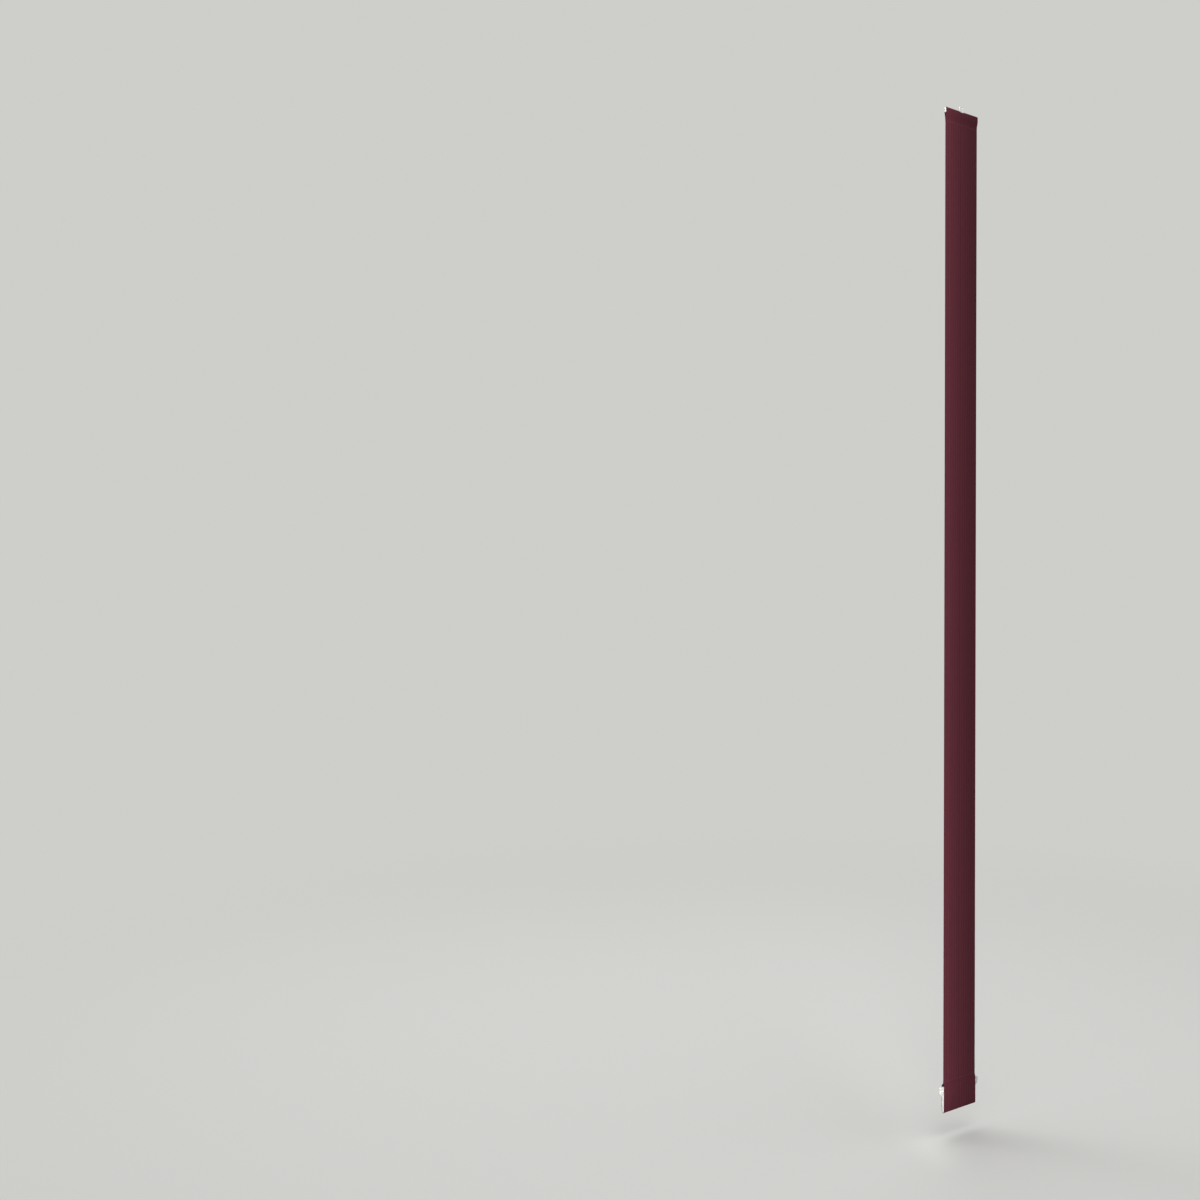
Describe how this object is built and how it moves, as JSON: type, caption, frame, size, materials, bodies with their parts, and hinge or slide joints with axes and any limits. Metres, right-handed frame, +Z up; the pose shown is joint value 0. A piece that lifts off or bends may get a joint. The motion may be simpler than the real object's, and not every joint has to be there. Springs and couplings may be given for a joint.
{
  "type": "vertical blind vane",
  "caption": "Long flat fabric vane for a vertical blind, with welded hems, a moulded hanger eye in the top pocket and a chain weight in the bottom pocket.",
  "frame": {"origin": "centre of the hole in the hanger's eye, which the carrier's hook goes through", "axes": "+Z up along the drop, +X across the width towards the edge that lies farther away in the picture, front face towards -Y, hems on the +Y side"},
  "size_m": [0.106, 0.0062, 1.9108],
  "materials": {
    "vane_cloth": "ribbed woven polyester, burgundy, stiffened, matt",
    "hanger_plastic": "moulded white polypropylene, satin",
    "case_plastic": "moulded white polystyrene, satin",
    "plate_steel": "zinc-coated sheet, cropped edges"
  },
  "bodies": {
    "root": {"vane_fabric": "vane_cloth", "top_hanger": "hanger_plastic", "weight_case": "case_plastic", "weight_plate": "plate_steel"}
  },
  "joints": []
}
